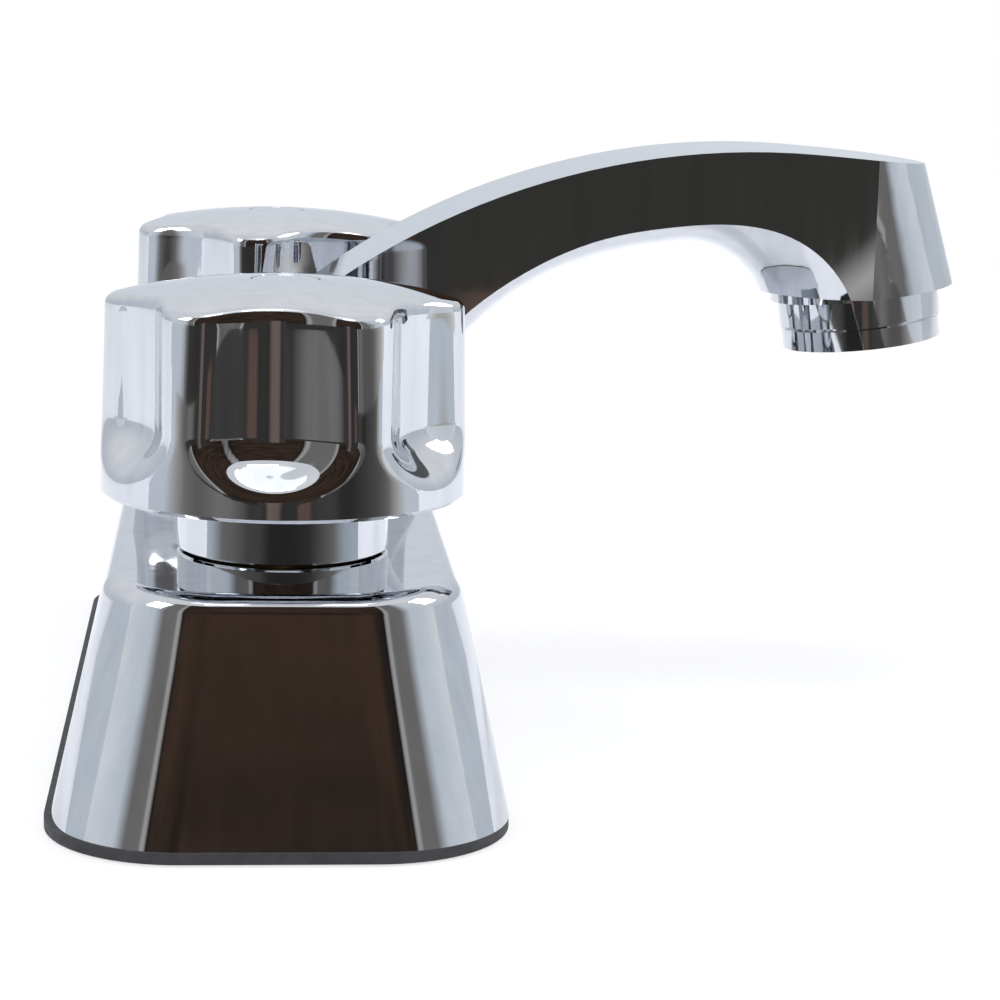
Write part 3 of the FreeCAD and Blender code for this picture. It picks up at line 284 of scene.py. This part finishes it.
def make_knob(name, centre_y, turn):
    """One closed skin: round the sleeve, up the fluted side, over the crown and down the bore."""
    edge_steps, crown_steps = 8, 18
    edge_start = KNOB["rim"] - KNOB["edge"]
    heights = np.concatenate([
        np.linspace(KNOB["foot"] + KNOB["chamfer"], KNOB["scoop_foot"], 8)[:-1],
        np.linspace(KNOB["scoop_foot"], KNOB["scoop_top"], 30)[:-1],
        np.linspace(KNOB["scoop_top"], edge_start, 22)])
    side = flute_radii(np.arange(KNOB_AROUND) * 2 * math.pi / KNOB_AROUND, heights)
    rows = level_rows(SLEEVE_OUTLINE, KNOB_AROUND)
    rows += [(radii, np.full(KNOB_AROUND, height)) for radii, height in zip(side, heights)]
    for step in range(1, edge_steps + 1):
        lean = math.pi / 2 * step / edge_steps
        radius = side[-1] - KNOB["edge"] * (1 - math.cos(lean))
        rows.append((radius, edge_start + (crown_height(radius) - edge_start) * math.sin(lean)))
    rim = rows[-1][0]
    for step in range(1, crown_steps + 1):
        radius = rim + (BUTTON_HOLE - rim) * step / crown_steps
        rows.append((radius, crown_height(radius)))
    rows += level_rows(SEAT_OUTLINE, KNOB_AROUND)
    return round_piece(name, rows, centre_y, turn, closed=True, sharp=34)


def make_button(name, centre_y):
    """The index button, level with the crown round it."""
    steps = 8
    rim, rim_height = BUTTON_OUTLINE[-1]
    outline = list(BUTTON_OUTLINE)
    for step in range(1, steps + 1):
        share = 1 - step / steps
        outline.append((rim * share, rim_height + BUTTON_DOME * (1 - share ** 2)))
    return round_piece(name, level_rows(outline, BUTTON_AROUND), centre_y, 0.0, closed=False, sharp=50)


def place_knobs():
    for side, centre_y, turn in (("hot", -VALVE_PLACE, -94.0), ("cold", VALVE_PLACE, -70.5)):
        knob = make_knob(side + "_fluted_knob", centre_y, math.radians(turn))
        place(knob, side + "_handle", side + "_knob")
        button = make_button(side + "_level_button", centre_y)
        place(button, side + "_handle", side + "_index")


place_knobs()


# Cover: the same tapered shell with fine corners, so that reflections run straight over them

# Width, length and corner radius of each outline
FOOT = (0.0590, 0.1556, 0.0170)
CROWN = (0.0456, 0.1380, 0.0145)
FOOT_INSIDE = (0.0538, 0.1504, 0.0144)
ROOF_INSIDE = (0.0414, 0.1338, 0.0119)
FOOT_LEVEL, ROOF_LEVEL, CROWN_LEVEL = 0.0015, 0.0292, 0.0318
EDGE = 0.0029
# Rows and points close to a bend keep the flat faces' normals flat
SIDE_SHARES = (0, 0.01, 0.25, 0.5, 0.75, 0.99)
STRAIGHT_SHARES = (0.015, 0.25, 0.5, 0.75, 0.985)
CROWN_LIP = 0.00025
CORNER_STEPS = 28
EDGE_STEPS = 12
# Place along Y and radius of the holes for the collars and the spout's hub
COVER_HOLES = ((-VALVE_PLACE, 0.0116), (0.0, 0.0088), (VALVE_PLACE, 0.0116))


def rounded_loop(width, length, corner, height):
    """Points counterclockwise round a level rounded rectangle."""
    corners = ((1, 1, 0), (-1, 1, 90), (-1, -1, 180), (1, -1, 270))

    def corner_point(number, turn):
        side_x, side_y, start = corners[number % 4]
        angle = math.radians(start + turn)
        return (side_x * (width / 2 - corner) + corner * math.cos(angle),
                side_y * (length / 2 - corner) + corner * math.sin(angle))

    points = []
    for number in range(4):
        points += [corner_point(number, 90 * step / CORNER_STEPS) for step in range(CORNER_STEPS + 1)]
        here, ahead = points[-1], corner_point(number + 1, 0)
        for share in STRAIGHT_SHARES:
            points.append((here[0] + (ahead[0] - here[0]) * share, here[1] + (ahead[1] - here[1]) * share))
    return [(x, y, height) for x, y in points]


def cover_loops():
    """From the roof's inside down to the foot, up the outside and over the edge onto the crown."""
    rise = CROWN_LEVEL - FOOT_LEVEL

    def outline(height):
        share = (height - FOOT_LEVEL) / rise
        return [low + (high - low) * share for low, high in zip(FOOT, CROWN)]

    bend_level = CROWN_LEVEL - EDGE
    width, length, corner = outline(bend_level)
    lean_x = math.atan((FOOT[0] - CROWN[0]) / 2 / rise)
    lean_y = math.atan((FOOT[1] - CROWN[1]) / 2 / rise)
    lean = (lean_x + lean_y) / 2
    bend_start = bend_level + EDGE * math.sin(lean)
    loops = [rounded_loop(*ROOF_INSIDE, ROOF_LEVEL), rounded_loop(*FOOT_INSIDE, FOOT_LEVEL)]
    for share in SIDE_SHARES:
        height = FOOT_LEVEL + (bend_start - FOOT_LEVEL) * share
        loops.append(rounded_loop(*outline(height), height))

    def edge_loop(angle, lip=0.0):
        inset_x = EDGE / math.cos(lean_x) - EDGE * math.cos(angle) + lip
        inset_y = EDGE / math.cos(lean_y) - EDGE * math.cos(angle) + lip
        return rounded_loop(width - 2 * inset_x, length - 2 * inset_y, corner - (inset_x + inset_y) / 2,
                            bend_level + EDGE * math.sin(angle))

    for step in range(EDGE_STEPS + 1):
        loops.append(edge_loop(lean + (math.pi / 2 - lean) * step / EDGE_STEPS))
    loops.append(edge_loop(math.pi / 2, CROWN_LIP))
    return loops


def make_cover():
    work = bmesh.new()

    def ring(points):
        return [work.verts.new(point) for point in points]

    def join(lower, upper):
        for column in range(len(lower)):
            beside = (column + 1) % len(lower)
            work.faces.new((lower[column], lower[beside], upper[beside], upper[column]))

    rings = [ring(points) for points in cover_loops()]
    for lower, upper in zip(rings, rings[1:]):
        join(lower, upper)
    roof, crown = [rings[0]], [rings[-1]]
    for centre_y, radius in COVER_HOLES:
        circle = [(radius * math.cos(math.radians(angle)), centre_y + radius * math.sin(math.radians(angle)))
                  for angle in range(0, 360, 5)]
        top = ring([(x, y, CROWN_LEVEL) for x, y in circle])
        bottom = ring([(x, y, ROOF_LEVEL) for x, y in circle])
        join(top, bottom)
        crown.append(top)
        roof.append(bottom)
    for borders in (crown, roof):
        edges = []
        for border in borders:
            for number, corner in enumerate(border):
                edges.append(work.edges.get((corner, border[(number + 1) % len(border)])))
        bmesh.ops.triangle_fill(work, use_beauty=True, use_dissolve=False, edges=edges)
    mesh = bpy.data.meshes.new("smooth_cover")
    work.to_mesh(mesh)
    work.free()
    finish_chrome(mesh, sharp=40)
    place(add_object("smooth_cover", mesh), "base", "base_cover")


make_cover()


# Camera: fitted to the edges of the photograph

CAMERA_PLACE = (-0.005578, -0.410926, 0.109449)
CAMERA_PITCH, CAMERA_YAW, CAMERA_ROLL = 0.1876, 0.0938, 0.0255
CAMERA_LENS, CAMERA_SENSOR = 101.25, 36.0


def make_camera():
    level = math.cos(CAMERA_PITCH)
    forward = Vector((math.sin(CAMERA_YAW) * level, math.cos(CAMERA_YAW) * level, -math.sin(CAMERA_PITCH)))
    right = forward.cross(Vector((0, 0, 1))).normalized()
    up = right.cross(forward)
    across = math.cos(CAMERA_ROLL) * right + math.sin(CAMERA_ROLL) * up
    above = -math.sin(CAMERA_ROLL) * right + math.cos(CAMERA_ROLL) * up
    turn = Matrix((across, above, -forward)).transposed().to_4x4()
    data = bpy.data.cameras.new("front_camera")
    data.sensor_width = CAMERA_SENSOR
    data.lens = CAMERA_LENS
    data.clip_start = 0.01
    data.clip_end = 50.0
    camera = add_object("front_camera", data)
    camera.matrix_world = Matrix.Translation(CAMERA_PLACE) @ turn
    bpy.context.scene.camera = camera


make_camera()


# Stage: floor, world, cards of the room that only reflections show, and lamps

def azimuth_ramp(tree, stops):
    """Colours by compass angle about the card's own origin. 0 is -Y and 90 is +X. A single
    number is a warm grey."""
    coordinates = add_node(tree, "ShaderNodeTexCoord")
    turn = add_node(tree, "ShaderNodeTexGradient", gradient_type="RADIAL")
    ramp = add_node(tree, "ShaderNodeValToRGB")
    tree.links.new(coordinates.outputs["Object"], turn.inputs["Vector"])
    tree.links.new(turn.outputs["Fac"], ramp.inputs["Fac"])
    elements = ramp.color_ramp.elements
    while len(elements) < len(stops):
        elements.new(0.5)
    for element, (angle, tone) in zip(elements, stops):
        element.position = angle / 360 + 0.25
    for element, (angle, tone) in zip(elements, stops):
        shade = tone if isinstance(tone, tuple) else (tone, tone * 0.96, tone * 0.92)
        element.color = (*shade, 1)
    return ramp.outputs["Color"]


def mottled(tree, colour, scale):
    patches = two_tone(tree, noise(tree, scale, 3, (1, 1, 2.6)), (0.62, 0.62, 0.66), (1.5, 1.2, 1.05))
    blend = add_node(tree, "ShaderNodeMix", data_type="RGBA", blend_type="MULTIPLY")
    blend.inputs["Factor"].default_value = 1.0
    tree.links.new(colour, blend.inputs["A"])
    tree.links.new(patches, blend.inputs["B"])
    return blend.outputs["Result"]


def round_card(name, inner, outer, stops, centre=(0, 0), mottle=None, strength=1.0, steps=48):
    """A ring-shaped piece of the room, from (radius, height) to (radius, height).
    It shows in reflections and not to the camera, and throws no shadow."""
    first, last = stops[0][0], stops[-1][0]
    corners, faces = [], []
    for step in range(steps + 1):
        angle = math.radians(first + (last - first) * step / steps)
        for radius, height in (inner, outer):
            corners.append((radius * math.sin(angle), -radius * math.cos(angle), height))
    for near in range(0, 2 * steps, 2):
        faces.append((near, near + 2, near + 3, near + 1))
    mesh = bpy.data.meshes.new(name)
    mesh.from_pydata(corners, [], faces)
    card = add_object(name, mesh)
    card.location = (*centre, 0)
    material = bpy.data.materials.new(name)
    material.use_nodes = True
    tree = material.node_tree
    tree.nodes.clear()
    colour = azimuth_ramp(tree, stops)
    if mottle:
        colour = mottled(tree, colour, mottle)
    out = add_node(tree, "ShaderNodeOutputMaterial")
    glow = add_node(tree, "ShaderNodeEmission")
    glow.inputs["Strength"].default_value = strength
    tree.links.new(colour, glow.inputs["Color"])
    tree.links.new(glow.outputs[0], out.inputs["Surface"])
    mesh.materials.append(material)
    card.visible_camera = False
    card.visible_shadow = False
    card.visible_diffuse = False


def make_floor(reach=3.0, level=-0.0003):
    mesh = bpy.data.meshes.new("deck_floor")
    corners = [(x * reach, y * reach, level) for x, y in ((-1, -1), (1, -1), (1, 1), (-1, 1))]
    mesh.from_pydata(corners, [], [(0, 1, 2, 3)])
    floor = add_object("deck_floor", mesh)
    material, tree, shader = new_material("pale_floor")
    colour = two_tone(tree, noise(tree, 6, 2), (0.90, 0.90, 0.91), (0.93, 0.93, 0.935))
    tree.links.new(colour, shader.inputs["Base Color"])
    shader.inputs["Roughness"].default_value = 0.6
    shader.inputs["Specular IOR Level"].default_value = 0.2
    # What the camera sees is plain white far out, and mostly so near the object, where the
    # rest keeps the shadow
    where = add_node(tree, "ShaderNodeTexCoord")
    distance = add_node(tree, "ShaderNodeVectorMath", operation="LENGTH")
    tree.links.new(where.outputs["Object"], distance.inputs[0])
    paths = add_node(tree, "ShaderNodeLightPath")
    share = add_node(tree, "ShaderNodeMath", operation="MULTIPLY")
    tree.links.new(paths.outputs["Is Camera Ray"], share.inputs[0])
    tree.links.new(remap(tree, distance.outputs["Value"], 0.72, 1.0, 0.25, 0.75), share.inputs[1])
    white = add_node(tree, "ShaderNodeEmission")
    lift = blend_shaders(tree, share.outputs[0], shader, white)
    # From below the floor lets the view through, so that the underside can be looked at
    facing = add_node(tree, "ShaderNodeNewGeometry")
    clear = add_node(tree, "ShaderNodeBsdfTransparent")
    mix = blend_shaders(tree, facing.outputs["Backfacing"], lift, clear)
    tree.links.new(mix.outputs[0], tree.nodes["Material Output"].inputs["Surface"])
    mesh.materials.append(material)


def make_world():
    """White to the camera, a pale studio in reflections and a cool fill light for the rest."""
    world = bpy.data.worlds.new("studio")
    bpy.context.scene.world = world
    world.use_nodes = True
    tree = world.node_tree
    tree.nodes.clear()
    out = add_node(tree, "ShaderNodeOutputWorld")
    paths = add_node(tree, "ShaderNodeLightPath")
    glossy = add_node(tree, "ShaderNodeMath", operation="MAXIMUM")
    seen = add_node(tree, "ShaderNodeMath", operation="MAXIMUM")
    tree.links.new(paths.outputs["Is Camera Ray"], glossy.inputs[0])
    tree.links.new(paths.outputs["Is Glossy Ray"], glossy.inputs[1])
    tree.links.new(glossy.outputs[0], seen.inputs[0])
    tree.links.new(paths.outputs["Is Transmission Ray"], seen.inputs[1])
    fill = add_node(tree, "ShaderNodeBackground")
    fill.inputs["Color"].default_value = (0.90, 0.93, 1.0, 1)
    fill.inputs["Strength"].default_value = 0.85
    white = add_node(tree, "ShaderNodeBackground")
    white.inputs["Color"].default_value = (1, 1, 1, 1)
    white.inputs["Strength"].default_value = 1.0
    # In reflections the studio is pale blue grey near the horizon and white above
    ways = add_node(tree, "ShaderNodeTexCoord")
    parts = add_node(tree, "ShaderNodeSeparateXYZ")
    tree.links.new(ways.outputs["Generated"], parts.inputs[0])
    sky = two_tone(tree, parts.outputs["Z"], (0.72, 0.77, 0.83), (0.97, 0.98, 1.0), 0.12, 0.5)
    studio = add_node(tree, "ShaderNodeBackground")
    tree.links.new(sky, studio.inputs["Color"])
    plain = blend_shaders(tree, paths.outputs["Is Glossy Ray"], white, studio)
    mix = blend_shaders(tree, seen.outputs[0], fill, plain)
    tree.links.new(mix.outputs[0], out.inputs["Surface"])


LAMP_AIM = (0, 0, 0.04)


def area_lamp(name, location, wide, high, power):
    data = bpy.data.lights.new(name, "AREA")
    data.shape = "RECTANGLE"
    data.size = wide
    data.size_y = high
    data.energy = power
    lamp = add_object(name, data)
    lamp.location = location
    lamp.rotation_euler = (Vector(LAMP_AIM) - Vector(location)).to_track_quat("-Z", "Y").to_euler()
    lamp.visible_camera = False


make_floor()
make_world()

# Radii at which one ring of the room ends and the next starts, and heights
DECK_START, NEAR_START, FAR_START, WALL_PLACE = 0.14, 0.27, 0.56, 1.7
TABLE_PLACE, TABLE_TOP = 0.45, 0.105
WALL_TOP, CEILING = 2.5, 1.45
NEAR_KNOB = (0, -VALVE_PLACE)

PALE = (0.74, 0.80, 0.86)
WHITE = (0.96, 0.98, 1.0)
PANEL = (0.047, 0.035, 0.027)
BROWN = (0.150, 0.100, 0.078)

DECK_TONES = [
    (-88, (0.60, 0.67, 0.74)), (-80, (0.50, 0.56, 0.61)), (-67, 0.20), (-52, 0.16), (-38, 0.09),
    (-26, 0.08), (-14, 0.028), (12, 0.03), (27, 0.045), (40, 0.11), (54, 0.20),
    (68, (0.46, 0.52, 0.58)), (86, (0.55, 0.61, 0.68)),
]
NEAR_TONES = [
    (-89, PALE), (-76, PALE), (-68, 0.45), (-62, 0.24), (-54, 0.18), (-50, 0.174), (-41, 0.245),
    (-32, 0.226), (-24, 0.124), (-20, 0.055), (-15, 0.07), (-11, 0.045), (-9.5, (0.21, 0.16, 0.14)),
    (-3.5, (0.20, 0.15, 0.13)), (-2, 0.045), (3, 0.05), (7, 0.045), (8.5, BROWN), (14.5, BROWN),
    (16, 0.05), (19, 0.065), (25, 0.075), (30, 0.07), (34, 0.042), (40, 0.038), (46, 0.06),
    (54, 0.09), (60, 0.13), (65, 0.20), (71, 0.52), (78, PALE), (89, PALE),
]
TABLE_TONES = [stop for stop in NEAR_TONES if -17 < stop[0] < 8]
FAR_TONES = [
    (-89, PALE), (-64, PALE), (-54, 0.22), (-46, 0.06), (-20, 0.045), (19.2, (0.052, 0.050, 0.044)),
    (19.7, 0.62), (20.6, 0.62), (21.2, 0.15), (28, 0.24), (38, 0.14), (51, 0.14), (63, 0.40),
    (75, 0.64), (89, WHITE),
]
SIDE_TONES = [(31, 0.02), (33, 0.50), (35, 0.50), (37, 0.22), (50, 0.22), (60, PALE), (89, WHITE)]
LEFT_TONES = [(-angle, tone) for angle, tone in reversed(SIDE_TONES)]
WALL_TONES = [(-31, 0.02), (-28, PANEL), (28, PANEL), (31, 0.02)]

round_card("deck_front", (DECK_START, 0.001), (NEAR_START, 0.001), DECK_TONES, NEAR_KNOB)
round_card("room_floor_near", (NEAR_START, 0.0012), (FAR_START, 0.0012), NEAR_TONES, NEAR_KNOB)
round_card("room_table", (TABLE_PLACE, 0.0016), (TABLE_PLACE, TABLE_TOP), TABLE_TONES, NEAR_KNOB)
round_card("room_floor_far", (FAR_START, 0.0014), (WALL_PLACE, 0.0014), FAR_TONES)
round_card("room_wall_right", (WALL_PLACE, 0.0), (WALL_PLACE, WALL_TOP), SIDE_TONES)
round_card("room_wall_left", (WALL_PLACE, 0.0), (WALL_PLACE, WALL_TOP), LEFT_TONES)
round_card("room_wall", (WALL_PLACE, 0.0), (WALL_PLACE, WALL_TOP), WALL_TONES, mottle=2.2)
round_card("room_ceiling_light", (0.16, CEILING), (0.60, CEILING), [(-50, WHITE), (50, WHITE)], NEAR_KNOB,
           strength=1.7)
area_lamp("key_left", (-1.25, -0.55, 1.1), 0.5, 0.7, 9)
area_lamp("key_right", (1.3, 0.1, 1.1), 0.5, 0.7, 9)
area_lamp("key_top", (0.05, -0.55, 1.5), 0.52, 0.28, 6)

bpy.context.scene.view_settings.view_transform = "Standard"
